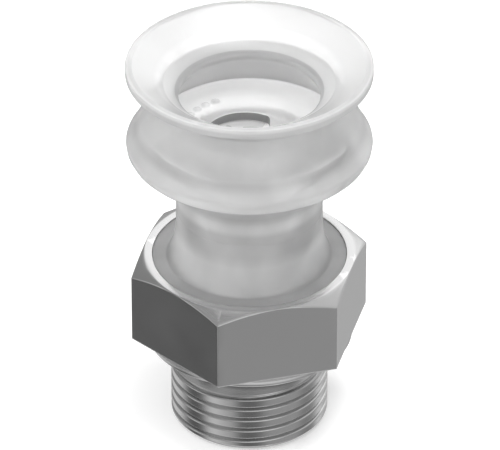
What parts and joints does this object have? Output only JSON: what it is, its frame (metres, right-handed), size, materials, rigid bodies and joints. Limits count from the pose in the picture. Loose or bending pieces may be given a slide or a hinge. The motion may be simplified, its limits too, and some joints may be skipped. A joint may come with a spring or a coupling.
{
  "type": "bellows suction cup",
  "caption": "Milky silicone suction cup with a bellows fold and conical lip, on a hexagon connector with a male pipe thread and a through air passage.",
  "frame": {"origin": "centre of the thread's end face", "axes": "+Z along the axis from the thread towards the lip; two corners of the hexagon lie on the X axis"},
  "size_m": [0.015, 0.015, 0.0251],
  "materials": {
    "nickel_plated_brass": "nickel plated, fine turned finish",
    "nipple_metal": "nickel plated, smooth",
    "silicone": "milky translucent silicone, satin"
  },
  "bodies": {
    "connector": {"screw_connector": "nickel_plated_brass", "clamp_nipple": "nipple_metal", "cup_foot": "silicone", "bellows_fold": "silicone"},
    "throat": {"throat_collar": "silicone"},
    "lip": {"sealing_lip": "silicone"}
  },
  "joints": [
    {"name": "fold_press", "type": "slide", "parent": "connector", "child": "throat", "axis": [0, 0, -1], "range_m": [0, 0.002], "stiffness_N_per_m": 800, "deforming": ["bellows_fold"]},
    {"name": "lip_tilt", "type": "hinge", "parent": "throat", "child": "lip", "pos_m": [0, 0, 0.0234], "axis": [1, 0, 0], "range_deg": [-6, 6], "stiffness_Nm_per_rad": 0.03}
  ]
}
